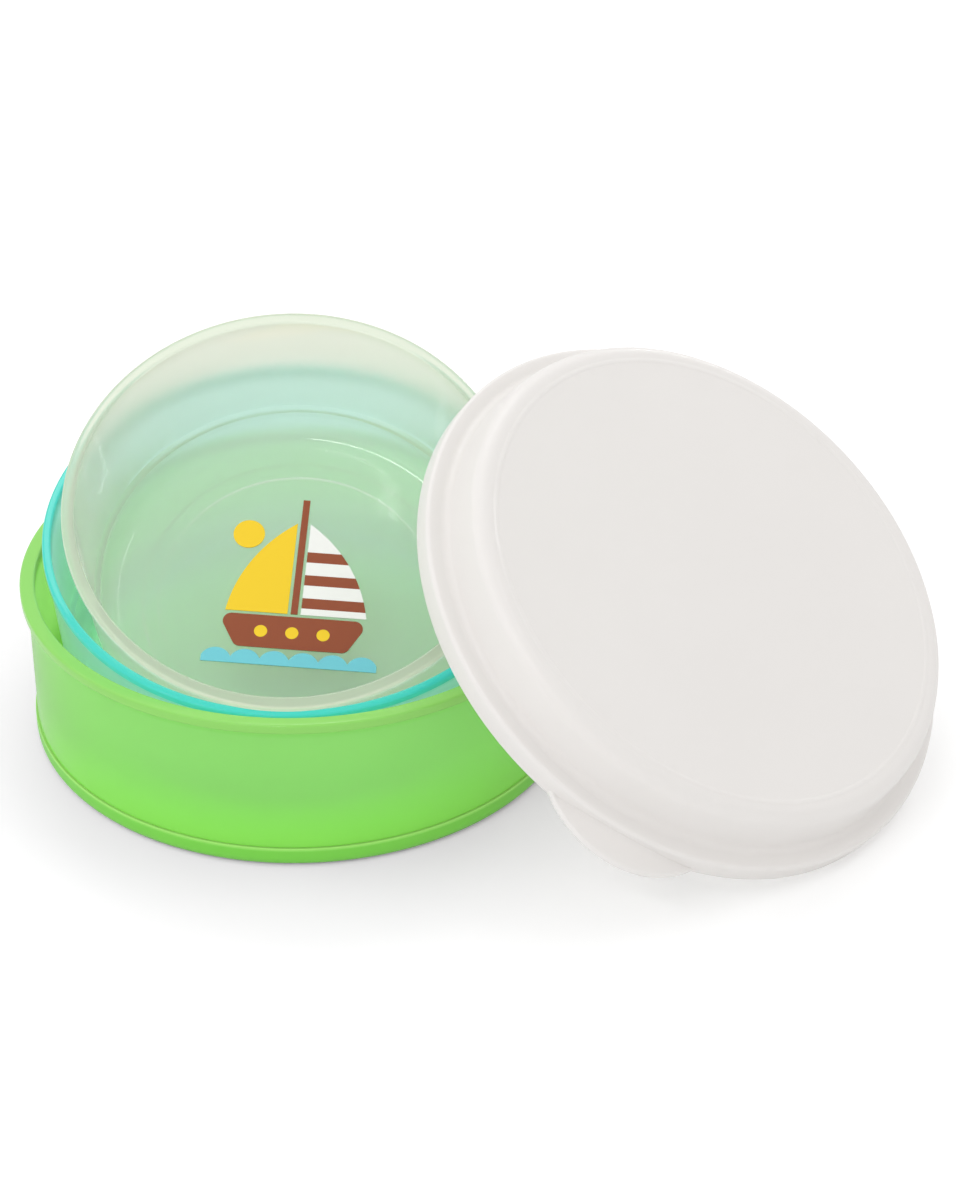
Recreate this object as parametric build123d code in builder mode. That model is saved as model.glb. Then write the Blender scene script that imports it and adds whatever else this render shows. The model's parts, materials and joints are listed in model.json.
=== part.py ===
from build123d import *
from math import cos, hypot, radians, sin, sqrt
import os

# A set of three nesting baby bowls with one snap lid, in millimetres, +Z up. The origin is the centre
# of the outer bowl's base on the table, +X is to the right and -Y is to the front. The two smaller
# bowls lean forward out of the outer one, and the lid leans on them from the right.

# Outer bowl
rim_radius = 80.0
outer_height = 48.3
outer_lip_width = 4.2
outer_lip_thickness = 3.0
outer_wall = 2.2
outer_floor = 2.2
outer_taper = 0.4
outer_corner = 8.0

# Soft non-slip base under the outer bowl, which turns a little way up its wall
pad_thickness = 1.0
pad_height = 6.3
pad_proud = 0.6
pad_side = 1.7
pad_bevel = 4.0
pad_edge = 3.0
seam_width = 0.2

# Middle bowl
middle_nest_gap = 5.3
middle_height = 50.0
middle_lip_width = 2.4
middle_lip_thickness = 2.2
middle_foot_inset = 13.4
middle_lean = 13.2
middle_shift = -1.7

# Inner bowl
inner_nest_gap = 5.4
inner_height = 55.4
inner_lip_width = 3.5
inner_lip_thickness = 2.4
inner_foot_inset = 13.0
inner_lean = 15.5
inner_turn = -2.0

# What the middle and inner bowls share
thin_wall = 1.7
thin_floor = 2.2
wall_taper = 2.2
ledge_height = 12.6
ledge_rise = 2.4
ledge_step = 1.2
thin_corner = 7.0
foot_height = 1.6
foot_width = 4.5
lip_round = 0.7
foot_round = 0.5

# How the bowls rest in each other
lean_azimuth = 4.0
seat_gap = 0.3
side_gap = 0.5

# Lid
lid_snap_gap = 0.6
lid_wall = 1.8
skirt_height = 6.4
shelf_width = 6.0
lid_rise = 14.3
lid_draft = 1.6
lid_corner = 4.0
snap_bead = 1.0
snap_bead_height = 1.3
skirt_edge = 0.6
skirt_shoulder = 1.2
tab_reach = 7.8
tab_radius = 29.0
tab_thickness = 2.0
tab_azimuth = -152.5
lid_lean = 36.5
lid_lean_azimuth = 52.9
lid_side_azimuth = -13.1
lid_lean_gap = 0.3
table_gap = 0.05

# Print on the inner bowl's floor: a sailing boat with its sun and waves
print_thickness = 0.2
print_turn = -6.0
print_gap = 0.9
mast_width = 2.0
mast_height = 38.0
sail_height = 30.0
main_sail_width = 19.0
jib_width = 18.0
sail_belly = 2.6
stripe_height = 3.4
stripe_pitch = 7.6
stripe_count = 3
hull_length = 44.0
hull_height = 10.5
hull_rake = 6.0
hull_round = 2.5
porthole_radius = 1.9
porthole_pitch = 9.0
porthole_count = 3
wave_radius = 4.6
wave_pitch = 8.4
wave_count = 6
sun_radius = 4.6
deck_level = -8.0

# Radii and levels that follow from the sizes above
outer_inner_radius = rim_radius - outer_lip_width
outer_wall_radius = outer_inner_radius + outer_wall
outer_floor_top = pad_thickness + outer_floor
pad_radius = outer_wall_radius + pad_proud
rebate_radius = pad_radius - pad_side
middle_rim_radius = outer_inner_radius - middle_nest_gap
middle_inner_radius = middle_rim_radius - middle_lip_width
inner_rim_radius = middle_inner_radius - inner_nest_gap
inner_inner_radius = inner_rim_radius - inner_lip_width
thin_base_inset = wall_taper + ledge_step - thin_wall
middle_foot_radius = middle_inner_radius - thin_base_inset - middle_foot_inset
inner_foot_radius = inner_inner_radius - thin_base_inset - inner_foot_inset
thin_floor_top = foot_height + thin_floor
skirt_inner_radius = rim_radius + lid_snap_gap
skirt_radius = skirt_inner_radius + lid_wall
dome_radius = skirt_radius - shelf_width
lid_height = skirt_height + lid_rise


def side_plane(plane):
    """Plane through a piece's axis: its x runs outwards from the axis and its y runs along it."""
    return Plane(origin=plane.origin, x_dir=plane.x_dir, z_dir=-plane.y_dir)


def turned_piece(label, plane, start, corners, end):
    """Solid of revolution. Its outline starts and ends on the axis, and each corner between is a
    radius, a height and the size of its round."""
    with BuildPart() as piece:
        with BuildSketch(side_plane(plane)):
            with BuildLine():
                points = [(radius, height) for radius, height, _ in corners]
                rounds = [size for _, _, size in corners]
                FilletPolyline((0, start), *points, (0, end), radius=rounds)
                Line((0, end), (0, start))
            make_face()
        revolve(axis=Axis(plane.origin, plane.z_dir))
    piece.part.label = label
    return piece


def thin_bowl(label, plane, rim, height, lip_width, lip_thickness, foot_radius):
    """Middle or inner bowl: a lip, a tapered wall, a small ledge near the floor and a ring foot. The
    lip's underside has small rounds that leave a flat between them."""
    top = rim - lip_width
    ledge = top - wall_taper
    low = ledge - ledge_step
    ledge_top = ledge_height + ledge_rise
    outside_drop = thin_wall / 2
    under_round = min(lip_round, (lip_width - thin_wall) / 3)
    corners = [
        (low, thin_floor_top, thin_corner),
        (low, ledge_height, lip_round),
        (ledge, ledge_top, lip_round),
        (top, height, lip_round),
        (rim, height, lip_round),
        (rim, height - lip_thickness, under_round),
        (top + thin_wall, height - lip_thickness, under_round),
        (ledge + thin_wall, ledge_top - outside_drop, lip_round),
        (low + thin_wall, ledge_height - outside_drop, lip_round),
        (low + thin_wall, foot_height, thin_corner + thin_wall),
        (foot_radius, foot_height, foot_round),
        (foot_radius, 0, foot_round),
        (foot_radius - foot_width, 0, foot_round),
        (foot_radius - foot_width, foot_height, foot_round),
    ]
    return turned_piece(label, plane, thin_floor_top, corners, foot_height)


def base_drop(inner_radius, foot_radius, lean):
    """How far a leaning thin bowl's lowest point lies under its base centre: its rounded corner or
    its foot, whichever is lower."""
    angle = radians(lean)
    outside_round = thin_corner + thin_wall
    centre_radius = inner_radius - thin_base_inset - outside_round
    centre_height = foot_height + outside_round
    corner = centre_radius * sin(angle) - centre_height * cos(angle) + outside_round
    return max(corner, foot_radius * sin(angle))


def leaning_plane(carrier, sideways, forward, up, lean):
    """Plane of a bowl whose base centre is beside, forward of and above its carrier's, and whose
    axis leans forward from the carrier's by the given angle."""
    angle = radians(lean)
    origin = carrier.from_local_coords((sideways, -forward, up))
    tip = carrier.from_local_coords((sideways, -forward - sin(angle), up + cos(angle)))
    return Plane(origin=origin, x_dir=carrier.x_dir, z_dir=tip - origin)


# Where each bowl stands. The middle one rests with its base on the outer floor and with its lip just
# inside the outer wall. The inner one rests with its lip on the middle lip or its base on the middle
# floor, whichever holds it higher.
azimuth = radians(lean_azimuth)
outer_plane = Plane(origin=(0, 0, 0), x_dir=(cos(azimuth), sin(azimuth), 0), z_dir=(0, 0, 1))

lean = radians(middle_lean)
middle_reach = middle_rim_radius * cos(lean) + middle_height * sin(lean)
middle_drop = base_drop(middle_inner_radius, middle_foot_radius, middle_lean)
middle_plane = leaning_plane(
    outer_plane,
    middle_shift,
    outer_inner_radius - side_gap - middle_reach,
    outer_floor_top + seat_gap + middle_drop,
    middle_lean,
)

lean = radians(inner_lean)
inner_lip_level = inner_height - inner_lip_thickness
inner_wall_top = inner_inner_radius + thin_wall
inner_reach = inner_wall_top * cos(lean) + inner_lip_level * sin(lean)
inner_lip_rise = inner_lip_level * cos(lean) - inner_rim_radius * sin(lean)
inner_drop = base_drop(inner_inner_radius, inner_foot_radius, inner_lean)
inner_plane = leaning_plane(
    middle_plane.rotated((0, 0, inner_turn)),
    0,
    middle_inner_radius - side_gap - inner_reach,
    seat_gap + max(middle_height - inner_lip_rise, thin_floor_top + inner_drop),
    inner_lean,
)

# The lid stands on the table on the lowest point of its skirt, and leans on a bowl's rim.
lean = radians(lid_lean)
azimuth = radians(lid_lean_azimuth)
side = radians(lid_side_azimuth)
edge_centre = (skirt_radius - skirt_edge) * sin(lean) - skirt_edge * cos(lean)
lid_centre_height = edge_centre + skirt_edge + table_gap
lid_axis = Vector(sin(lean) * sin(azimuth), -sin(lean) * cos(azimuth), cos(lean))


def rim_points(plane, radius, height, thickness):
    """Centres of the rounds on a lip's outer edges, one pair for each degree."""
    levels = (height - lip_round, height - thickness + lip_round)
    reach = radius - lip_round
    round_places = [(reach * cos(radians(turn)), reach * sin(radians(turn))) for turn in range(360)]
    return [plane.from_local_coords((x, y, level)) for x, y in round_places for level in levels]


def lid_clearance(distance, points):
    """Least gap between the rims and the lid's skirt or its bead, when the lid's centre is at this
    distance from the outer bowl's axis."""
    centre = Vector(distance * cos(side), distance * sin(side), lid_centre_height)
    bead_radius = skirt_inner_radius - snap_bead
    bead_bottom = snap_bead_height - snap_bead / 2
    least = distance
    for point in points:
        offset = point - centre
        level = offset.dot(lid_axis)
        radius = sqrt(max(offset.dot(offset) - level**2, 0))
        for inner, bottom in ((skirt_inner_radius, 0), (bead_radius, bead_bottom)):
            across = max(inner - radius, radius - skirt_radius, 0)
            least = min(least, hypot(across, max(bottom - level, 0)))
    return least - lip_round


rims = rim_points(outer_plane, rim_radius, outer_height, outer_lip_thickness)
rims += rim_points(middle_plane, middle_rim_radius, middle_height, middle_lip_thickness)
rims += rim_points(inner_plane, inner_rim_radius, inner_height, inner_lip_thickness)
lid_distance = 2 * rim_radius
step = lid_wall
while step > table_gap:
    if lid_clearance(lid_distance - step, rims) > lid_lean_gap:
        lid_distance -= step
    else:
        step /= 2
lid_plane = Plane(
    origin=(lid_distance * cos(side), lid_distance * sin(side), lid_centre_height),
    x_dir=(cos(azimuth), sin(azimuth), 0),
    z_dir=lid_axis,
)

# Outer bowl, with a rebate round its base that the soft base grips
pad_seat_top = pad_thickness + pad_bevel
outer_bowl = turned_piece(
    "outer_bowl",
    outer_plane,
    outer_floor_top,
    [
        (outer_inner_radius - outer_taper, outer_floor_top, outer_corner),
        (outer_inner_radius, outer_height, lip_round),
        (rim_radius, outer_height, lip_round),
        (rim_radius, outer_height - outer_lip_thickness, lip_round),
        (outer_wall_radius, outer_height - outer_lip_thickness, lip_round),
        (outer_wall_radius, pad_height + seam_width, 0),
        (rebate_radius, pad_height + seam_width, 0),
        (rebate_radius, pad_seat_top, 0),
        (rebate_radius - pad_bevel, pad_thickness, 0),
    ],
    pad_thickness,
)

# Soft non-slip base
non_slip_base = turned_piece(
    "non_slip_base",
    outer_plane,
    0,
    [
        (pad_radius, 0, pad_edge),
        (pad_radius, pad_height, 0),
        (rebate_radius, pad_height, 0),
        (rebate_radius, pad_seat_top, 0),
        (rebate_radius - pad_bevel, pad_thickness, 0),
    ],
    pad_thickness,
)

# Middle and inner bowls
middle_bowl = thin_bowl(
    "middle_bowl",
    middle_plane,
    middle_rim_radius,
    middle_height,
    middle_lip_width,
    middle_lip_thickness,
    middle_foot_radius,
)
inner_bowl = thin_bowl(
    "inner_bowl",
    inner_plane,
    inner_rim_radius,
    inner_height,
    inner_lip_width,
    inner_lip_thickness,
    inner_foot_radius,
)

# Lid, in its own frame: the skirt's edge is at height 0 and the flat top is at lid_height
lid_shell = turned_piece(
    "lid_shell",
    lid_plane,
    lid_height,
    [
        (dome_radius - lid_draft, lid_height, lid_corner),
        (dome_radius, skirt_height, skirt_edge),
        (skirt_radius, skirt_height, skirt_shoulder),
        (skirt_radius, 0, skirt_edge),
        (skirt_inner_radius, 0, 0),
        (skirt_inner_radius, snap_bead_height - snap_bead / 2, 0),
        (skirt_inner_radius - snap_bead, snap_bead_height, snap_bead / 4),
        (skirt_inner_radius, snap_bead_height + snap_bead / 2, 0),
        (skirt_inner_radius, skirt_height - lid_wall, skirt_edge),
        (dome_radius - lid_wall, skirt_height - lid_wall, skirt_edge),
        (dome_radius - lid_draft - lid_wall, lid_height - lid_wall, lid_corner - lid_wall),
    ],
    lid_height - lid_wall,
)

# The pull tab is a rounded tongue on the skirt's edge, in one moulding with the lid.
tab_angle = radians(tab_azimuth)
tab_centre = skirt_radius + tab_reach - tab_radius
with BuildPart() as pull_tab:
    with BuildSketch(lid_plane):
        with Locations((tab_centre * cos(tab_angle), tab_centre * sin(tab_angle))):
            Circle(tab_radius)
    extrude(amount=tab_thickness)
    fillet(pull_tab.edges(), skirt_edge)
    with BuildSketch(lid_plane):
        Circle(skirt_radius - lid_wall / 2)
    extrude(amount=tab_thickness, mode=Mode.SUBTRACT)

with BuildPart() as lid:
    add(lid_shell.part)
    add(pull_tab.part)
lid.part.label = "lid"

# The print lies on the inner bowl's floor. Its x runs to the right and its y to the back.
turn = radians(print_turn)
floor_plane = inner_plane.offset(thin_floor_top)
print_right = floor_plane.from_local_coords((cos(turn), sin(turn), 0)) - floor_plane.origin
print_plane = Plane(origin=floor_plane.origin, x_dir=print_right, z_dir=floor_plane.z_dir)
sail_foot = deck_level + print_gap
sail_peak = sail_foot + sail_height
sail_edge = mast_width / 2 + print_gap
hull_bottom = deck_level - hull_height
wave_crest = hull_bottom - print_gap
sun_centre = (-jib_width + sun_radius / 2, sail_peak - sun_radius)
porthole_level = deck_level - hull_height / 2
first_porthole = -porthole_pitch * (porthole_count - 1) / 2
portholes = [(first_porthole + porthole_pitch * step, porthole_level) for step in range(porthole_count)]


def sail_outline(side, width):
    """One sail to the right (side 1) or left (side -1) of the mast. Its mast edge and its foot are
    straight, and its third edge bellies outwards."""
    inner = side * sail_edge
    outer = side * (sail_edge + width)
    belly = ((inner + outer) / 2 + side * sail_belly, (sail_foot + sail_peak) / 2 + sail_belly)
    with BuildSketch() as sail:
        with BuildLine():
            Line((inner, sail_foot), (outer, sail_foot))
            ThreePointArc((outer, sail_foot), belly, (inner, sail_peak))
            Line((inner, sail_peak), (inner, sail_foot))
        make_face()
    return sail.sketch


main_sail = sail_outline(1, main_sail_width)
jib = sail_outline(-1, jib_width)

with BuildSketch() as sail_stripes:
    with Locations((sail_edge + main_sail_width / 2, sail_foot + stripe_pitch * stripe_count / 2)):
        with GridLocations(1, stripe_pitch, 1, stripe_count):
            Rectangle(2 * main_sail_width, stripe_height)
    add(main_sail, mode=Mode.INTERSECT)

with BuildPart() as print_white:
    with BuildSketch(print_plane):
        add(main_sail)
        add(sail_stripes.sketch, mode=Mode.SUBTRACT)
    extrude(amount=print_thickness)
print_white.part.label = "print_white"

with BuildPart() as print_brown:
    with BuildSketch(print_plane):
        with BuildLine():
            FilletPolyline(
                (-hull_length / 2, deck_level),
                (hull_length / 2, deck_level),
                (hull_length / 2 - hull_rake, hull_bottom),
                (hull_rake - hull_length / 2, hull_bottom),
                radius=hull_round,
                close=True,
            )
        make_face()
        with Locations(*portholes):
            Circle(porthole_radius, mode=Mode.SUBTRACT)
        with Locations((0, sail_foot + mast_height / 2)):
            Rectangle(mast_width, mast_height)
        add(sail_stripes.sketch)
    extrude(amount=print_thickness)
print_brown.part.label = "print_brown"

with BuildPart() as print_yellow:
    with BuildSketch(print_plane):
        add(jib)
        with Locations(*portholes):
            Circle(porthole_radius)
        with Locations(sun_centre):
            Circle(sun_radius)
    extrude(amount=print_thickness)
print_yellow.part.label = "print_yellow"

with BuildPart() as print_blue:
    with BuildSketch(print_plane):
        with Locations((0, wave_crest - wave_radius)):
            with GridLocations(wave_pitch, 1, wave_count, 1):
                Circle(wave_radius)
        with Locations((0, wave_crest - wave_radius / 2)):
            Rectangle(wave_pitch * wave_count, wave_radius, mode=Mode.INTERSECT)
    extrude(amount=print_thickness)
print_blue.part.label = "print_blue"

pieces = [
    outer_bowl,
    non_slip_base,
    middle_bowl,
    inner_bowl,
    print_white,
    print_brown,
    print_yellow,
    print_blue,
    lid,
]
os.makedirs("parts", exist_ok=True)
for piece in pieces:
    export_step(piece.part, f"parts/{piece.part.label}.step")
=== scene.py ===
import json

import bpy
import numpy as np
from mathutils import Matrix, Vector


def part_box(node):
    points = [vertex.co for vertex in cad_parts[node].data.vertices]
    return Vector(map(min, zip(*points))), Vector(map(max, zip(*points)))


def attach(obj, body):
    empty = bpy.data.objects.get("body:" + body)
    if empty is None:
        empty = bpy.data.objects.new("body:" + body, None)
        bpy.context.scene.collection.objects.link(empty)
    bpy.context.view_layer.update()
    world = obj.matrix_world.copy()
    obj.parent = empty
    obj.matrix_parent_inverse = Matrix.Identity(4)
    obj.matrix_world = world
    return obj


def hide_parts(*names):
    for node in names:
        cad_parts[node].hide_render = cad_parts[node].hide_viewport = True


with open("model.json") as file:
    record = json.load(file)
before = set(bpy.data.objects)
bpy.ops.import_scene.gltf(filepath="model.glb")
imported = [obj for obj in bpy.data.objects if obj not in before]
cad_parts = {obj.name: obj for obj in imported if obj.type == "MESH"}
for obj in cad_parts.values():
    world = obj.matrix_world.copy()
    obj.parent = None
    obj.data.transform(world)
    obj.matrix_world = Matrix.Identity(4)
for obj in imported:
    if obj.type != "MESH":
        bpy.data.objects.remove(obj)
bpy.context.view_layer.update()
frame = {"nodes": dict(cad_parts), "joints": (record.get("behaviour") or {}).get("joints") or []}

# Outer bowl. The largest of the three, one moulding of green translucent polypropylene. It has a flat
# lip that the lid snaps over, a nearly upright wall and a wide round between wall and floor. Its foot
# is set back to take the soft base.
MM = 0.001
TURN_STEPS = 288
ARC_STEPS = 9
LONGEST_SIDE = 2.0
SHARP = 0.12
LIP_ROUND = 0.7
OUTER_RIM_RADIUS = 80.0
OUTER_HEIGHT = 48.3
OUTER_LIP_WIDTH = 4.2
OUTER_LIP_THICKNESS = 3.0
OUTER_WALL = 2.2
OUTER_FLOOR = 2.2
OUTER_TAPER = 0.4
OUTER_CORNER = 8.0
OUTER_INSIDE = OUTER_RIM_RADIUS - OUTER_LIP_WIDTH
OUTER_OUTSIDE = OUTER_INSIDE + OUTER_WALL
PAD_THICKNESS = 1.0
PAD_HEIGHT = 6.3
PAD_PROUD = 0.6
PAD_SIDE = 1.7
PAD_BEVEL = 4.0
PAD_RADIUS = OUTER_OUTSIDE + PAD_PROUD
REBATE_RADIUS = PAD_RADIUS - PAD_SIDE
SEAM = 0.03
OUTER_LIP_FADE = (4.5, 2.5)
OUTER_FOOT_FADE = (26.0, 5.0)
OUTER_FOOT_DEPTH = 0.9
OUTER_AXIS = np.array([0.0, 0.0, 1.0])
OUTER_ORIGIN = np.zeros(3)


def rounded_outline(corners):
    """Outline of a turned piece in millimetres. Each corner is a radius, a height and the size of its
    round. A corner P whose sides run along the unit vectors a and b, with the angle t between them,
    becomes an arc about P + (a + b) / |a + b| * round / sin(t / 2), from the one side to the other."""
    table = np.array(corners, float)
    points, rounds = table[:, :2], table[1:-1, 2:]
    a = points[:-2] - points[1:-1]
    b = points[2:] - points[1:-1]
    a /= np.linalg.norm(a, axis=1, keepdims=True)
    b /= np.linalg.norm(b, axis=1, keepdims=True)
    half = np.arccos(np.clip((a * b).sum(1, keepdims=True), -1, 1)) / 2
    middle = (a + b) / np.linalg.norm(a + b, axis=1, keepdims=True)
    centre = points[1:-1] + middle * rounds / np.sin(half)
    swing = np.linspace(-1, 1, ARC_STEPS) * (np.pi / 2 - half)
    across = (b - a) / np.linalg.norm(b - a, axis=1, keepdims=True)
    arcs = centre[:, None] + rounds[:, None] * (
        across[:, None] * np.sin(swing)[..., None] - middle[:, None] * np.cos(swing)[..., None]
    )
    return np.concatenate([points[:1], arcs.reshape(-1, 2), points[-1:]])


def short_sided(outline, longest):
    """The same outline with points added, so that none of its straight sides is longer than that."""
    steps = np.linalg.norm(np.diff(outline, axis=0), axis=1)
    places = np.concatenate([[0], np.cumsum(steps)])
    extra = [np.linspace(start, end, max(int(np.ceil((end - start) / longest)), 1), endpoint=False)
             for start, end in zip(places[:-1], places[1:])]
    where = np.concatenate(extra + [places[-1:]])
    return np.stack([np.interp(where, places, outline[:, i]) for i in range(2)], 1)


def plane_of(axis, guide):
    """Unit vectors x and y square to the axis, where x is also square to the guide."""
    x = np.cross(guide, axis)
    x /= np.linalg.norm(x)
    return x, np.cross(axis, x)


def ring_quads(rings, steps):
    """Faces between closed rings of points, where point j of ring k has the number k * steps + j."""
    k, j = np.meshgrid(np.arange(rings - 1), np.arange(steps), indexing="ij")
    beside = (j + 1) % steps
    corners = (k * steps + j, (k + 1) * steps + j, (k + 1) * steps + beside, k * steps + beside)
    return np.stack(corners, -1).reshape(-1, 4).tolist()


def add_piece(name, points, faces):
    """Smooth piece made of points and faces, with its object at the origin."""
    mesh = bpy.data.meshes.new(name)
    mesh.from_pydata(points.tolist(), [], faces)
    mesh.shade_smooth()
    piece = bpy.data.objects.new(name, mesh)
    bpy.context.scene.collection.objects.link(piece)
    return piece


def turned_piece(name, outline, origin, axis):
    """Surface of revolution: at turn t and outline point (r, h) it lies at
    origin + r (cos t * x + sin t * y) + h * axis, and its first and last point are closed poles."""
    x, y = plane_of(axis, np.array([0.0, 1.0, 0.0]))
    turn = np.linspace(0, 2 * np.pi, TURN_STEPS, endpoint=False)
    radius, height = outline[1:-1, 0] * MM, outline[1:-1, 1] * MM
    around = np.cos(turn)[:, None] * x + np.sin(turn)[:, None] * y
    rings = origin + radius[:, None, None] * around + height[:, None, None] * axis
    poles = origin + outline[[0, -1], 1][:, None] * MM * axis
    points = np.concatenate([rings.reshape(-1, 3), poles])
    step = np.arange(TURN_STEPS)
    beside = (step + 1) % TURN_STEPS
    last = (len(radius) - 1) * TURN_STEPS
    start = np.stack([np.full_like(step, len(points) - 2), step, beside], -1)
    end = np.stack([np.full_like(step, len(points) - 1), last + beside, last + step], -1)
    faces = ring_quads(len(radius), TURN_STEPS) + start.tolist() + end.tolist()
    return add_piece(name, points, faces)


def store(piece, name, values):
    """Keeps a number for each outline point of a turned piece, under a name that its material reads."""
    numbers = np.concatenate([np.repeat(values[1:-1], TURN_STEPS), values[[0, -1]]])
    layer = piece.data.attributes.new(name, "FLOAT", "POINT")
    layer.data.foreach_set("value", numbers.astype(np.float32))


def ease(value, start, end):
    """0 at start, 1 at end and 3 t^2 - 2 t^3 between, where t is the share of the way."""
    t = np.clip((value - start) / (end - start), 0, 1)
    return t * t * (3 - 2 * t)


def near_top(outline, height, fade):
    """0 far below the top of a piece and 1 at it. fade says how far under the top it begins and ends."""
    begin, full = fade
    return ease(outline[:, 1], height - begin, height - full)


outer_outline = short_sided(rounded_outline([
    (0, PAD_THICKNESS + OUTER_FLOOR, 0),
    (OUTER_INSIDE - OUTER_TAPER, PAD_THICKNESS + OUTER_FLOOR, OUTER_CORNER),
    (OUTER_INSIDE, OUTER_HEIGHT, LIP_ROUND),
    (OUTER_RIM_RADIUS, OUTER_HEIGHT, LIP_ROUND),
    (OUTER_RIM_RADIUS, OUTER_HEIGHT - OUTER_LIP_THICKNESS, LIP_ROUND),
    (OUTER_OUTSIDE, OUTER_HEIGHT - OUTER_LIP_THICKNESS, LIP_ROUND),
    (OUTER_OUTSIDE, PAD_HEIGHT + SEAM, SHARP),
    (REBATE_RADIUS, PAD_HEIGHT + SEAM, SHARP),
    (REBATE_RADIUS, PAD_THICKNESS + PAD_BEVEL, SHARP),
    (REBATE_RADIUS - PAD_BEVEL, PAD_THICKNESS, SHARP),
    (0, PAD_THICKNESS, 0),
]), LONGEST_SIDE)
outer = turned_piece("outer_bowl_shell", outer_outline, OUTER_ORIGIN, OUTER_AXIS)
outer_foot = OUTER_FOOT_DEPTH * ease(outer_outline[:, 1], *OUTER_FOOT_FADE)
store(outer, "deepening_and_highlight", np.maximum(near_top(outer_outline, OUTER_HEIGHT, OUTER_LIP_FADE), outer_foot))
widest = outer_outline[:, 0].argmax()
store(outer, "outside", (np.arange(len(outer_outline)) >= widest).astype(float))


def feed(tree, value, socket):
    """Sets a socket to a number or a colour, or links it to the socket that gives its value."""
    if isinstance(value, bpy.types.NodeSocket):
        tree.links.new(value, socket)
    elif isinstance(value, tuple):
        socket.default_value = (*value, 1)
    else:
        socket.default_value = value


def blended_colour(tree, factor, first, second):
    """Colour that goes from the first to the second as the factor goes from 0 to 1."""
    mix = tree.nodes.new("ShaderNodeMix")
    mix.data_type = "RGBA"
    feed(tree, factor, mix.inputs["Factor"])
    feed(tree, first, mix.inputs["A"])
    feed(tree, second, mix.inputs["B"])
    return mix.outputs["Result"]


def blended_shader(tree, factor, first, second):
    """Shader that goes from the first to the second as the factor goes from 0 to 1."""
    mix = tree.nodes.new("ShaderNodeMixShader")
    feed(tree, factor, mix.inputs["Fac"])
    tree.links.new(first, mix.inputs[1])
    tree.links.new(second, mix.inputs[2])
    return mix.outputs["Shader"]


def arithmetic(tree, operation, *values):
    """Result of one step of arithmetic on numbers and sockets."""
    step = tree.nodes.new("ShaderNodeMath")
    step.operation = operation
    for value, socket in zip(values, step.inputs):
        feed(tree, value, socket)
    return step.outputs["Value"]


def share_of_way(tree, value, start, end=1.0):
    """0 where the value is at the start or below, 1 where it is at the end or above."""
    way = tree.nodes.new("ShaderNodeMapRange")
    way.inputs["From Min"].default_value = start
    way.inputs["From Max"].default_value = end
    tree.links.new(value, way.inputs["Value"])
    return way.outputs["Result"]


def noise(tree, place, scale, detail):
    """Noise between 0 and 1 at a place."""
    texture = tree.nodes.new("ShaderNodeTexNoise")
    texture.inputs["Detail"].default_value = detail
    feed(tree, scale, texture.inputs["Scale"])
    tree.links.new(place, texture.inputs["Vector"])
    return texture.outputs["Fac"]


def stored(tree, name):
    """The numbers that store() kept on the mesh under a name."""
    attribute = tree.nodes.new("ShaderNodeAttribute")
    attribute.attribute_name = name
    return attribute.outputs["Fac"]


def show_shader(tree, shader):
    """Makes a shader the surface of its material."""
    tree.links.new(shader, tree.nodes["Material Output"].inputs["Surface"])


def moulded_group():
    """Node group for moulded plastic: slow clouds in the colour, a faint change of gloss, and a fine
    height from the mould's texture and a few hair scratches."""
    group = bpy.data.node_groups.new("moulded_plastic", "ShaderNodeTree")
    for way, kind, names in (
        ("INPUT", "NodeSocketColor", ("Colour", "Cloud Colour")),
        ("INPUT", "NodeSocketFloat", ("Cloud Size", "Gloss", "Gloss Change", "Scratches")),
        ("OUTPUT", "NodeSocketColor", ("Colour",)),
        ("OUTPUT", "NodeSocketFloat", ("Roughness", "Height")),
    ):
        for name in names:
            group.interface.new_socket(name, in_out=way, socket_type=kind)
    given = group.nodes.new("NodeGroupInput").outputs
    place = group.nodes.new("ShaderNodeTexCoord").outputs["Object"]

    clouds = share_of_way(group, noise(group, place, given["Cloud Size"], detail=3.0), start=0.35, end=0.65)
    colour = blended_colour(group, clouds, given["Colour"], given["Cloud Colour"])

    smears = noise(group, place, scale=55.0, detail=4.0)
    roughness = arithmetic(group, "MULTIPLY_ADD", smears, given["Gloss Change"], given["Gloss"])

    grain = noise(group, place, scale=900.0, detail=2.0)
    drawn_out = group.nodes.new("ShaderNodeMapping")
    drawn_out.inputs["Scale"].default_value = (1.0, 14.0, 3.0)
    drawn_out.inputs["Rotation"].default_value = (0.4, 0.3, 0.9)
    group.links.new(place, drawn_out.inputs["Vector"])
    strands = noise(group, drawn_out.outputs["Vector"], scale=160.0, detail=5.0)
    hairs = share_of_way(group, strands, start=0.66, end=0.70)
    scratches = arithmetic(group, "MULTIPLY", hairs, given["Scratches"])
    height = arithmetic(group, "SUBTRACT", grain, scratches)

    result = group.nodes.new("NodeGroupOutput").inputs
    for value, name in ((colour, "Colour"), (roughness, "Roughness"), (height, "Height")):
        group.links.new(value, result[name])
    return group


moulded = moulded_group()


def moulded_surface(tree, colour, cloud, gloss, gloss_change, bump):
    """Colour, roughness and normal of one moulded plastic, from the shared group."""
    surface = tree.nodes.new("ShaderNodeGroup")
    surface.node_tree = moulded
    for name, value in (("Colour", colour), ("Cloud Colour", cloud), ("Cloud Size", 18.0),
                        ("Gloss", gloss), ("Gloss Change", gloss_change), ("Scratches", 0.5)):
        feed(tree, value, surface.inputs[name])
    dent = tree.nodes.new("ShaderNodeBump")
    dent.inputs["Strength"].default_value = bump
    dent.inputs["Distance"].default_value = 0.0001
    tree.links.new(surface.outputs["Height"], dent.inputs["Height"])
    return surface.outputs["Colour"], surface.outputs["Roughness"], dent.outputs["Normal"]


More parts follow.
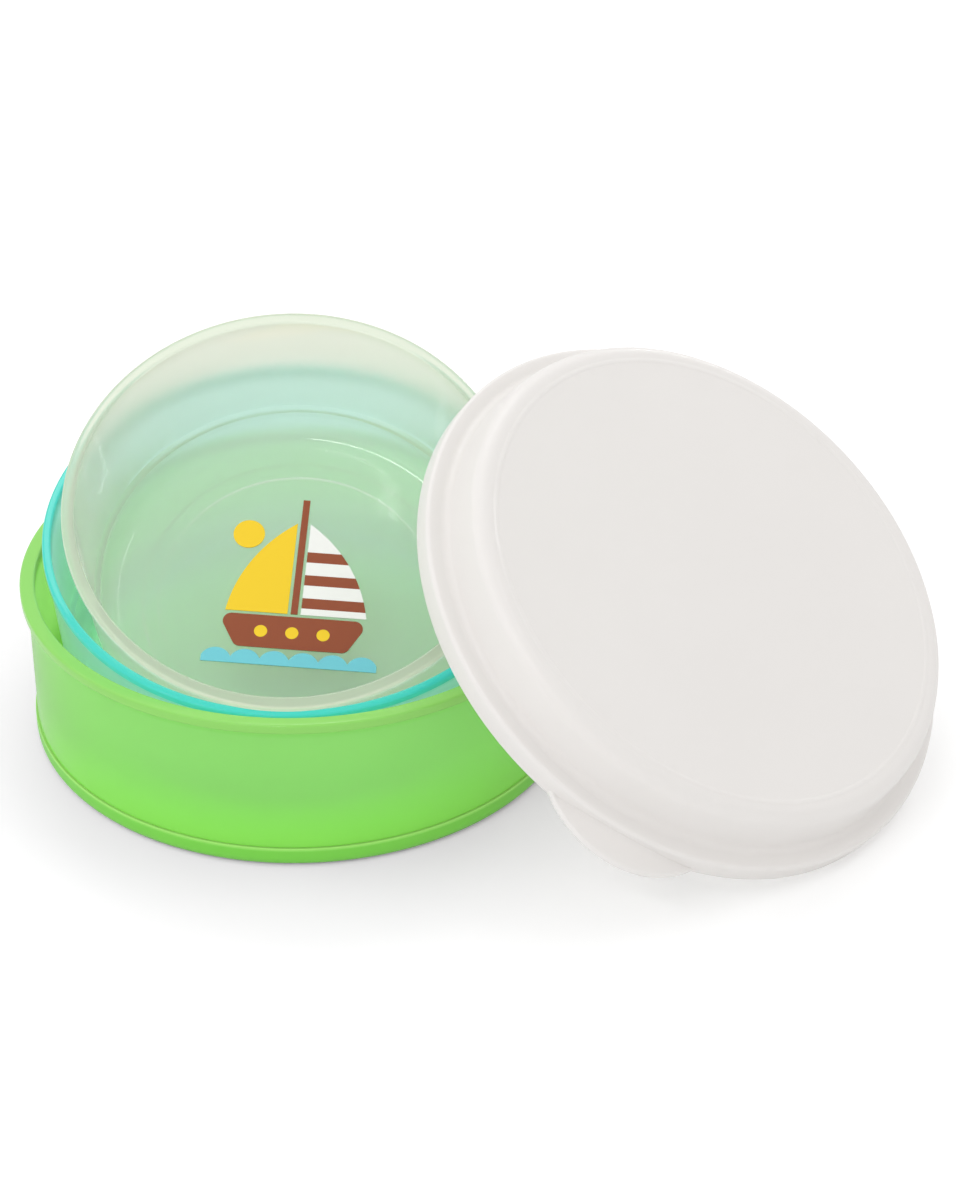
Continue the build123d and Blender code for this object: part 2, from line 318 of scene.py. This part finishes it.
def clear_wall(name, colour, deep, tint, milk, pass_back, gloss, coat, bump, outer_tint=None, rim=None):
    """Material of a translucent wall. Its near side is rough glass with a milky share, part of which
    lets the light from behind glow through, and its far side is rough glass alone. Where the stored
    share of the deep colour rises, the wall turns milky in the deep colour, and near 1 in the rim's
    colour if one is given. Light from lamps and light that bounces pass both sides and take the tint
    at each, or the outer tint, if one is given, where they meet the outer face from outside."""
    material = bpy.data.materials.new(name)
    material.use_nodes = True
    tree = material.node_tree
    front = tree.nodes["Principled BSDF"]
    back = tree.nodes.new("ShaderNodeBsdfPrincipled")
    lip = tree.nodes.new("ShaderNodeBsdfPrincipled")
    cloud = tuple(1.02 * value for value in colour)
    shade, roughness, normal = moulded_surface(tree, colour, cloud, gloss, gloss_change=0.05, bump=bump)
    deepening_and_highlight = stored(tree, "deepening_and_highlight")
    back_face = tree.nodes.new("ShaderNodeNewGeometry").outputs["Backfacing"]
    if rim is not None:
        deep = blended_colour(tree, share_of_way(tree, deepening_and_highlight, start=0.9), deep, rim)
    lip_shade = blended_colour(tree, factor=0.96, first=shade, second=deep)
    for shader, base in ((front, shade), (back, shade), (lip, lip_shade)):
        tree.links.new(base, shader.inputs["Base Color"])
        tree.links.new(roughness, shader.inputs["Roughness"])
        shader.inputs["IOR"].default_value = 1.2
    for shader in (front, lip):
        tree.links.new(normal, shader.inputs["Normal"])
        shader.inputs["Coat Weight"].default_value = coat
        shader.inputs["Coat Roughness"].default_value = 0.05
    front.inputs["Transmission Weight"].default_value = 1 - milk
    back.inputs["Transmission Weight"].default_value = 1.0
    glow = tree.nodes.new("ShaderNodeBsdfTranslucent")
    tree.links.new(shade, glow.inputs["Color"])
    if outer_tint is not None:
        from_outside = arithmetic(tree, "SUBTRACT", stored(tree, "outside"), back_face)
        from_outside.node.use_clamp = True
        tint = blended_colour(tree, from_outside, tint, outer_tint)
    window = tree.nodes.new("ShaderNodeBsdfTransparent")
    feed(tree, tint, window.inputs["Color"])
    ray = tree.nodes.new("ShaderNodeLightPath").outputs
    seen = front.outputs["BSDF"]
    for factor, other in ((pass_back, glow), (deepening_and_highlight, lip), (back_face, back),
                          (ray["Is Diffuse Ray"], window), (ray["Is Shadow Ray"], window)):
        seen = blended_shader(tree, factor, seen, other.outputs["BSDF"])
    show_shader(tree, seen)
    return material


outer.data.materials.append(
    clear_wall("green_polypropylene", colour=(0.405, 0.93, 0.22), deep=(0.27, 0.92, 0.08),
               tint=(0.88, 0.99, 0.80), milk=0.66, pass_back=0.3, gloss=0.36, coat=0.6, bump=0.15,
               outer_tint=(0.08, 0.08, 0.08), rim=(0.28, 0.69, 0.13)))
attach(outer, "outer")
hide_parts("outer_bowl")

# Non-slip base. A soft green elastomer moulded round the outer bowl's foot and a little way up its
# wall. Its thin upper edge carries a painted highlight, a lighter green that shows as a fine light seam.
PAD_EDGE = 3.0
PAD_TOP_ROUND = 0.25
PAD_LONGEST_SIDE = 1.0
# How far under the pad's top the painted highlight on its upper edge fades in, and its lighter colour.
PAD_HIGHLIGHT_FADE = (1.1, 0.25)
PAD_PAINTED_HIGHLIGHT = (0.38, 0.90, 0.16)
PAD_BOUNCE = (0.20, 0.20, 0.20)
pad_outline = short_sided(rounded_outline([
    (0, PAD_THICKNESS, 0),
    (REBATE_RADIUS - PAD_BEVEL, PAD_THICKNESS, SHARP),
    (REBATE_RADIUS, PAD_THICKNESS + PAD_BEVEL, SHARP),
    (REBATE_RADIUS, PAD_HEIGHT, SHARP),
    (PAD_RADIUS, PAD_HEIGHT, PAD_TOP_ROUND),
    (PAD_RADIUS, 0, PAD_EDGE),
    (0, 0, 0),
]), PAD_LONGEST_SIDE)
pad = turned_piece("soft_base_ring", pad_outline, OUTER_ORIGIN, OUTER_AXIS)
# The pad keeps the share of the painted highlight along its upper edge; the bowls keep their share of deep
# colour under the same name.
store(pad, "deepening_and_highlight", near_top(pad_outline, PAD_HEIGHT, PAD_HIGHLIGHT_FADE))


def solid_plastic(name, colour, cloud, gloss, coat, bump):
    """Material of a piece that lets no light through, fed by the shared group."""
    material = bpy.data.materials.new(name)
    material.use_nodes = True
    tree = material.node_tree
    shader = tree.nodes["Principled BSDF"]
    shade, roughness, normal = moulded_surface(tree, colour, cloud, gloss, gloss_change=0.06, bump=bump)
    tree.links.new(shade, shader.inputs["Base Color"])
    tree.links.new(roughness, shader.inputs["Roughness"])
    tree.links.new(normal, shader.inputs["Normal"])
    shader.inputs["IOR"].default_value = 1.49
    shader.inputs["Coat Weight"].default_value = coat
    shader.inputs["Coat Roughness"].default_value = 0.06
    return material


def elastomer():
    """Green rubber whose upper edge is lightened by a painted highlight. To light that bounces it is a
    neutral grey, so that it doesn't turn the table green."""
    material = solid_plastic("green_elastomer", colour=(0.20, 0.74, 0.06), cloud=(0.22, 0.76, 0.07),
                             gloss=0.42, coat=0.2, bump=0.4)
    tree = material.node_tree
    shader = tree.nodes["Principled BSDF"]
    base = shader.inputs["Base Color"]
    # Painted highlight: the colour turns a lighter green along the pad's upper edge.
    with_painted_highlight = blended_colour(tree, stored(tree, "deepening_and_highlight"), base.links[0].from_socket, PAD_PAINTED_HIGHLIGHT)
    tree.links.new(with_painted_highlight, base)
    calm = tree.nodes.new("ShaderNodeBsdfDiffuse")
    feed(tree, PAD_BOUNCE, calm.inputs["Color"])
    bounced = tree.nodes.new("ShaderNodeLightPath").outputs["Is Diffuse Ray"]
    show_shader(tree, blended_shader(tree, bounced, shader.outputs["BSDF"], calm.outputs["BSDF"]))
    return material


pad.data.materials.append(elastomer())
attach(pad, "outer")
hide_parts("non_slip_base")

# Middle bowl. A thinner moulding of aqua translucent polypropylene with a narrow lip, a ledge low in
# its wall and a ring foot. It leans forward in the outer bowl.
THIN_WALL = 1.7
THIN_FLOOR = 2.2
THIN_CORNER = 7.0
WALL_TAPER = 2.2
LEDGE_STEP = 1.2
LEDGE_HEIGHT = 12.6
LEDGE_RISE = 2.4
LEDGE_TOP = LEDGE_HEIGHT + LEDGE_RISE
FOOT_HEIGHT = 1.6
FOOT_WIDTH = 4.5
FOOT_ROUND = 0.5
FLOOR_TOP = FOOT_HEIGHT + THIN_FLOOR
MIDDLE_NEST_GAP = 5.3
MIDDLE_RIM_RADIUS = OUTER_INSIDE - MIDDLE_NEST_GAP
MIDDLE_HEIGHT = 50.0
MIDDLE_LIP_WIDTH = 2.4
MIDDLE_LIP_THICKNESS = 2.2
MIDDLE_FOOT_INSET = 13.4
MIDDLE_LIP_FADE = (3.2, 2.0)
MIDDLE_LIP_DEPTH = 0.9
axes = {joint["child"]: np.array(joint["axis"]) for joint in frame["joints"]}


def thin_outline(rim, height, lip_width, lip_thickness, foot_inset):
    """Outline of a thin bowl from the middle of its floor, over its lip, to the middle of its base."""
    top = rim - lip_width
    ledge = top - WALL_TAPER
    low = ledge - LEDGE_STEP
    under = min(LIP_ROUND, (lip_width - THIN_WALL) / 3)
    foot = low + THIN_WALL - foot_inset
    return short_sided(rounded_outline([
        (0, FLOOR_TOP, 0),
        (low, FLOOR_TOP, THIN_CORNER),
        (low, LEDGE_HEIGHT, LIP_ROUND),
        (ledge, LEDGE_TOP, LIP_ROUND),
        (top, height, LIP_ROUND),
        (rim, height, LIP_ROUND),
        (rim, height - lip_thickness, under),
        (top + THIN_WALL, height - lip_thickness, under),
        (ledge + THIN_WALL, LEDGE_TOP - THIN_WALL / 2, LIP_ROUND),
        (low + THIN_WALL, LEDGE_HEIGHT - THIN_WALL / 2, LIP_ROUND),
        (low + THIN_WALL, FOOT_HEIGHT, THIN_CORNER + THIN_WALL),
        (foot, FOOT_HEIGHT, FOOT_ROUND),
        (foot, 0, FOOT_ROUND),
        (foot - FOOT_WIDTH, 0, FOOT_ROUND),
        (foot - FOOT_WIDTH, FOOT_HEIGHT, FOOT_ROUND),
        (0, FOOT_HEIGHT, 0),
    ]), LONGEST_SIDE)


def origin_from_box(node, axis, rings):
    """Where a turned node's base centre lies. A ring of radius r and height h with a round e reaches
    h * axis +- (r * sqrt(1 - axis^2) + e) from it, so a side of the node's box gives each coordinate.
    rings holds, for x, y and z, the side (0 low, 1 high) and the ring (r, h, e) that touches it."""
    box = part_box(node)
    place = []
    for i, (side, (radius, height, edge)) in enumerate(rings):
        reach = (radius * np.sqrt(1 - axis[i] ** 2) + edge) * MM
        place.append(box[side][i] - (reach if side else -reach) - height * MM * axis[i])
    return np.array(place)


def lip_rings(axis, rim, height):
    """The top ring of a bowl's lip touches its box on the side to which the axis leans."""
    ring = (rim - LIP_ROUND, height - LIP_ROUND, LIP_ROUND)
    return [(int(axis[i] > 0), ring) for i in range(3)]


middle_origin = origin_from_box("middle_bowl", axes["middle"],
                                lip_rings(axes["middle"], MIDDLE_RIM_RADIUS, MIDDLE_HEIGHT))
middle_outline = thin_outline(MIDDLE_RIM_RADIUS, MIDDLE_HEIGHT, MIDDLE_LIP_WIDTH, MIDDLE_LIP_THICKNESS,
                              MIDDLE_FOOT_INSET)
middle = turned_piece("middle_bowl_shell", middle_outline, middle_origin, axes["middle"])
store(middle, "deepening_and_highlight", MIDDLE_LIP_DEPTH * near_top(middle_outline, MIDDLE_HEIGHT, MIDDLE_LIP_FADE))
middle.data.materials.append(
    clear_wall("aqua_polypropylene", colour=(0.46, 0.90, 0.88), deep=(0.015, 0.68, 0.57),
               tint=(0.965, 0.995, 0.99), milk=0.3, pass_back=0.2, gloss=0.32, coat=0.7, bump=0.12))
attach(middle, "middle")
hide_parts("middle_bowl")

# Inner bowl. The smallest, of milky clear polypropylene, with a wider lip, the same ledge and foot, and
# the printed floor. It leans forward out of the middle bowl.
INNER_NEST_GAP = 5.4
INNER_RIM_RADIUS = MIDDLE_RIM_RADIUS - MIDDLE_LIP_WIDTH - INNER_NEST_GAP
INNER_HEIGHT = 55.4
INNER_LIP_WIDTH = 3.5
INNER_LIP_THICKNESS = 2.4
INNER_FOOT_INSET = 13.0
INNER_WALL_FADE = (26, 12)
INNER_WALL_DEPTH = 0.22
INNER_LIP_FADE = (3.4, 2.2)
INNER_LIP_DEPTH = 0.4
inner_origin = origin_from_box("inner_bowl", axes["inner"],
                               lip_rings(axes["inner"], INNER_RIM_RADIUS, INNER_HEIGHT))
inner_outline = thin_outline(INNER_RIM_RADIUS, INNER_HEIGHT, INNER_LIP_WIDTH, INNER_LIP_THICKNESS,
                             INNER_FOOT_INSET)
inner = turned_piece("inner_bowl_shell", inner_outline, inner_origin, axes["inner"])
store(inner, "deepening_and_highlight", np.maximum(INNER_WALL_DEPTH * near_top(inner_outline, INNER_HEIGHT, INNER_WALL_FADE),
                                 INNER_LIP_DEPTH * near_top(inner_outline, INNER_HEIGHT, INNER_LIP_FADE)))
inner.data.materials.append(
    clear_wall("clear_polypropylene", colour=(0.92, 0.925, 0.85), deep=(0.58, 0.73, 0.48),
               tint=(0.995, 0.998, 0.99), milk=0.33, pass_back=0.15, gloss=0.30, coat=1.0, bump=0.1))
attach(inner, "inner")
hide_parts("inner_bowl")

# Print. A sailing boat with its sun and waves in four ink colours, printed on the inner bowl's floor.
# The CAD nodes show as they are, each with the ink of its colour.
INKS = {
    "print_white": ((0.93, 0.93, 0.91), "white_ink"),
    "print_brown": ((0.30, 0.062, 0.016), "brown_ink"),
    "print_yellow": ((0.96, 0.64, 0.008), "yellow_ink"),
    "print_blue": ((0.17, 0.62, 0.74), "blue_ink"),
}
for node, (ink, slot) in INKS.items():
    piece = frame["nodes"][node]
    piece.data.materials.clear()
    piece.data.materials.append(solid_plastic(slot, ink, ink, gloss=0.45, coat=0.05, bump=0.1))

# Lid. Soft white polyethylene, one moulding: a flat raised top, a skirt that snaps over the outer
# bowl's lip on a bead, and a pull tab on the skirt's edge. It leans on the inner bowl's rim.
LID_SNAP_GAP = 0.6
LID_WALL = 1.8
LID_RISE = 14.3
LID_DRAFT = 1.6
LID_CORNER = 4.0
LID_INNER_ROUND = 0.6
SHELF_WIDTH = 6.0
SHELF_CORNER = 2.6
SKIRT_HEIGHT = 6.4
SKIRT_EDGE = 0.6
SKIRT_SHOULDER = 1.2
SNAP_BEAD = 1.0
SNAP_BEAD_HEIGHT = 1.3
SNAP_BEAD_HALF_WIDTH = 0.5
SNAP_BEAD_ROUND = 0.25
LINE_RADIUS = 69.2
LINE_SECTION = ((-0.9, 0, 0.3), (-0.4, 0.12, 0.1), (0.2, 0.12, 0.1), (0.8, 0, 0.2))
LID_LONGEST_SIDE = 4.0
SKIRT_INSIDE = OUTER_RIM_RADIUS + LID_SNAP_GAP
SKIRT_RADIUS = SKIRT_INSIDE + LID_WALL
DOME_RADIUS = SKIRT_RADIUS - SHELF_WIDTH
LID_HEIGHT = SKIRT_HEIGHT + LID_RISE
raised_line = [(LINE_RADIUS + across, LID_HEIGHT + up, bend) for across, up, bend in LINE_SECTION]
lid_outline = short_sided(rounded_outline([
    (0, LID_HEIGHT, 0),
    *raised_line,
    (DOME_RADIUS - LID_DRAFT, LID_HEIGHT, LID_CORNER),
    (DOME_RADIUS, SKIRT_HEIGHT, SHELF_CORNER),
    (SKIRT_RADIUS, SKIRT_HEIGHT, SKIRT_SHOULDER),
    (SKIRT_RADIUS, 0, SKIRT_EDGE),
    (SKIRT_INSIDE, 0, SHARP),
    (SKIRT_INSIDE, SNAP_BEAD_HEIGHT - SNAP_BEAD_HALF_WIDTH, SHARP),
    (SKIRT_INSIDE - SNAP_BEAD, SNAP_BEAD_HEIGHT, SNAP_BEAD_ROUND),
    (SKIRT_INSIDE, SNAP_BEAD_HEIGHT + SNAP_BEAD_HALF_WIDTH, SHARP),
    (SKIRT_INSIDE, SKIRT_HEIGHT - LID_WALL, LID_INNER_ROUND),
    (DOME_RADIUS - LID_WALL, SKIRT_HEIGHT - LID_WALL, LID_INNER_ROUND),
    (DOME_RADIUS - LID_DRAFT - LID_WALL, LID_HEIGHT - LID_WALL, LID_CORNER - LID_WALL),
    (0, LID_HEIGHT - LID_WALL, 0),
]), LID_LONGEST_SIDE)
TAB_REACH = 7.8
TAB_RADIUS = 29.0
TAB_THICKNESS = 2.0
TAB_AZIMUTH = np.radians(-152.5)
TAB_SWEEP = 3.2
TAB_ROOT = SKIRT_RADIUS - 1.2
TAB_CENTRE = SKIRT_RADIUS + TAB_REACH - TAB_RADIUS
TAB_SPREAD = 0.97
TAB_STEPS = 72
TAB_EDGE_STEPS = 15
TAB_TOP_STEPS = 10


def tab_piece(name, origin, axis):
    """Tongue on the skirt's edge. At angle a from its middle it reaches the far side of a circle of
    radius R whose centre is c from the lid's axis, c cos a + sqrt(R^2 - c^2 sin^2 a), and its section
    there is a slab with a half round outer edge, whose top sweeps up the skirt by s^2 along its way s."""
    x, y = plane_of(axis, np.array([0.0, 0.0, 1.0]))
    at_root = (TAB_ROOT**2 + TAB_CENTRE**2 - TAB_RADIUS**2) / (2 * TAB_ROOT * TAB_CENTRE)
    widest = np.arccos(at_root) * TAB_SPREAD
    angle = np.linspace(-widest, widest, TAB_STEPS)
    reach = TAB_CENTRE * np.cos(angle) + np.sqrt(TAB_RADIUS**2 - (TAB_CENTRE * np.sin(angle)) ** 2)
    edge = np.minimum(TAB_THICKNESS / 2, (reach - TAB_ROOT) / 2)
    crown = reach - edge
    bend = np.linspace(-np.pi / 2, np.pi / 2, TAB_EDGE_STEPS)
    way = np.linspace(0, 1, TAB_TOP_STEPS + 1)[1:]
    radius = np.concatenate([
        np.full((TAB_STEPS, 1), TAB_ROOT),
        crown[:, None] + edge[:, None] * np.cos(bend),
        crown[:, None] + (TAB_ROOT - crown)[:, None] * way,
    ], 1)
    rise = TAB_SWEEP * (crown - TAB_ROOT) / (crown - TAB_ROOT).max()
    below = TAB_THICKNESS / 2 * np.concatenate([[0], 1 + np.sin(bend)])
    level = np.concatenate([
        np.broadcast_to(below, (TAB_STEPS, len(below))),
        TAB_THICKNESS + rise[:, None] * way**2,
    ], 1)
    turn = (angle + TAB_AZIMUTH)[:, None]
    along_x, along_y = radius * np.cos(turn), radius * np.sin(turn)
    points = origin + MM * (along_x[..., None] * x + along_y[..., None] * y + level[..., None] * axis)
    rows, columns = radius.shape
    first = list(range(columns))
    last = list(range((rows - 1) * columns, rows * columns))[::-1]
    return add_piece(name, points.reshape(-1, 3), ring_quads(rows, columns) + [first, last])


def white_polyethylene():
    """Soft white plastic that scatters light inside. Lamps shine through it dimmed, and light that
    bounces passes in part, so that the lid's shadow stays pale."""
    material = solid_plastic("white_polyethylene", colour=(0.83, 0.80, 0.775), cloud=(0.84, 0.81, 0.785),
                             gloss=0.42, coat=0.1, bump=0.25)
    tree = material.node_tree
    shader = tree.nodes["Principled BSDF"]
    shader.inputs["Subsurface Weight"].default_value = 0.4
    shader.inputs["Subsurface Radius"].default_value = (1.0, 1.0, 1.0)
    shader.inputs["Subsurface Scale"].default_value = 0.004
    body = shader.outputs["BSDF"]
    gap = tree.nodes.new("ShaderNodeBsdfTransparent")
    dim = tree.nodes.new("ShaderNodeBsdfTransparent")
    feed(tree, (0.55, 0.545, 0.54), dim.inputs["Color"])
    ray = tree.nodes.new("ShaderNodeLightPath").outputs
    leak = blended_shader(tree, factor=0.6, first=body, second=gap.outputs["BSDF"])
    bounced = blended_shader(tree, ray["Is Diffuse Ray"], body, leak)
    show_shader(tree, blended_shader(tree, ray["Is Shadow Ray"], bounced, dim.outputs["BSDF"]))
    return material


skirt_foot = (SKIRT_RADIUS - SKIRT_EDGE, SKIRT_EDGE, SKIRT_EDGE)
skirt_top = (SKIRT_RADIUS - SKIRT_SHOULDER, SKIRT_HEIGHT - SKIRT_SHOULDER, SKIRT_SHOULDER)
lid_origin = origin_from_box("lid", axes["cover"], [(1, skirt_top), (1, skirt_foot), (0, skirt_foot)])
lid = turned_piece("lid_shell", lid_outline, lid_origin, axes["cover"])
tab = tab_piece("lid_pull_tab", lid_origin, axes["cover"])
lid_white = white_polyethylene()
lid.data.materials.append(lid_white)
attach(lid, "cover")
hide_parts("lid")
tab.data.materials.append(lid_white)
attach(tab, "cover")
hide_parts("lid")

# Floor. A matt sheet of white studio paper under the set. Its own glow, which only the camera and
# rays through the bowls see, lifts it to white, and it keeps the shadows.
FLOOR_HALF = 3.0
FLOOR_GLOW = 0.17
floor_corners = np.array([(-FLOOR_HALF, -FLOOR_HALF, 0), (FLOOR_HALF, -FLOOR_HALF, 0),
                          (FLOOR_HALF, FLOOR_HALF, 0), (-FLOOR_HALF, FLOOR_HALF, 0)])
floor = add_piece("floor", floor_corners, [(0, 1, 2, 3)])


def white_paper():
    """Matt white, which glows for the camera and for rays through glass."""
    material = bpy.data.materials.new("floor_paint")
    material.use_nodes = True
    tree = material.node_tree
    matt = tree.nodes["Principled BSDF"]
    feed(tree, (0.95, 0.95, 0.95), matt.inputs["Base Color"])
    feed(tree, (1.0, 1.0, 1.0), matt.inputs["Emission Color"])
    matt.inputs["Roughness"].default_value = 0.8
    matt.inputs["Specular IOR Level"].default_value = 0.0
    ray = tree.nodes.new("ShaderNodeLightPath").outputs
    seen = arithmetic(tree, "MAXIMUM", ray["Is Camera Ray"], ray["Is Transmission Ray"])
    tree.links.new(arithmetic(tree, "MULTIPLY", seen, FLOOR_GLOW), matt.inputs["Emission Strength"])
    return material


floor.data.materials.append(white_paper())

# Lamps. A white studio tent and six soft boxes. The largest stands behind the set, and the long narrow
# ones give the thin lights along the rims and in the inner bowl.
TENT_LIGHT = 0.77
TENT_SEEN = 0.23
world = bpy.data.worlds.new("studio")
bpy.context.scene.world = world
world.use_nodes = True
tent = world.node_tree
sky = tent.nodes["Background"]
feed(tent, (1.0, 1.0, 1.0), sky.inputs["Color"])
tent_ray = tent.nodes.new("ShaderNodeLightPath").outputs
direct = arithmetic(tent, "MAXIMUM", tent_ray["Is Camera Ray"], tent_ray["Is Transmission Ray"])
tent.links.new(arithmetic(tent, "MULTIPLY_ADD", direct, TENT_SEEN, TENT_LIGHT), sky.inputs["Strength"])


def soft_box(name, place, target, size, power):
    """Oblong area lamp at a place, turned to face a target, with its first side level."""
    lamp = bpy.data.lights.new(name, "AREA")
    lamp.shape = "RECTANGLE"
    lamp.size, lamp.size_y = size
    lamp.energy = power
    holder = bpy.data.objects.new(name, lamp)
    bpy.context.scene.collection.objects.link(holder)
    way = np.array(target) - np.array(place)
    way = way / np.linalg.norm(way)
    side = np.cross(way, (0, 0, 1))
    side = side / np.linalg.norm(side)
    matrix = np.eye(4)
    matrix[:3] = np.stack([side, np.cross(side, way), -way, place], 1)
    holder.matrix_world = Matrix(matrix.tolist())


soft_box("key", place=(-0.1, 0.75, 1.0), target=(0.05, 0, 0.03), size=(0.6, 0.4), power=1.8)
soft_box("side", place=(-0.7, -0.1, 0.95), target=(0.05, 0, 0.03), size=(0.4, 0.4), power=0.4)
soft_box("left_strip", place=(-0.95, 0.05, 0.70), target=(0.0, 0, 0.03), size=(0.5, 0.05), power=0.6)
soft_box("front_strip", place=(-0.43, -0.74, 0.98), target=(0.0, 0, 0.03), size=(0.8, 0.07), power=2.6)
soft_box("right_strip", place=(0.62, 0.03, 1.08), target=(0.0, 0, 0.03), size=(0.5, 0.03), power=0.6)
soft_box("back_strip", place=(0.55, 0.95, 0.45), target=(0.0, 0, 0.03), size=(0.35, 0.08), power=0.9)

# Camera. It stands 0.9 m from the set and looks down at 33 degrees through a long lens, which was
# fitted to the rims in the photograph.
SENSOR_HEIGHT = 36
LENS = 93.82
CAMERA_PLACE = (0.05101, -0.75465, 0.52648)
CAMERA_TILT = np.radians(56.982)
camera_data = bpy.data.cameras.new("camera")
camera_data.sensor_fit = "VERTICAL"
camera_data.sensor_height = SENSOR_HEIGHT
camera_data.lens = LENS
camera = bpy.data.objects.new("camera", camera_data)
bpy.context.scene.collection.objects.link(camera)
camera.location = CAMERA_PLACE
camera.rotation_euler = (CAMERA_TILT, 0, 0)
bpy.context.scene.camera = camera
bpy.context.scene.view_settings.view_transform = "Standard"
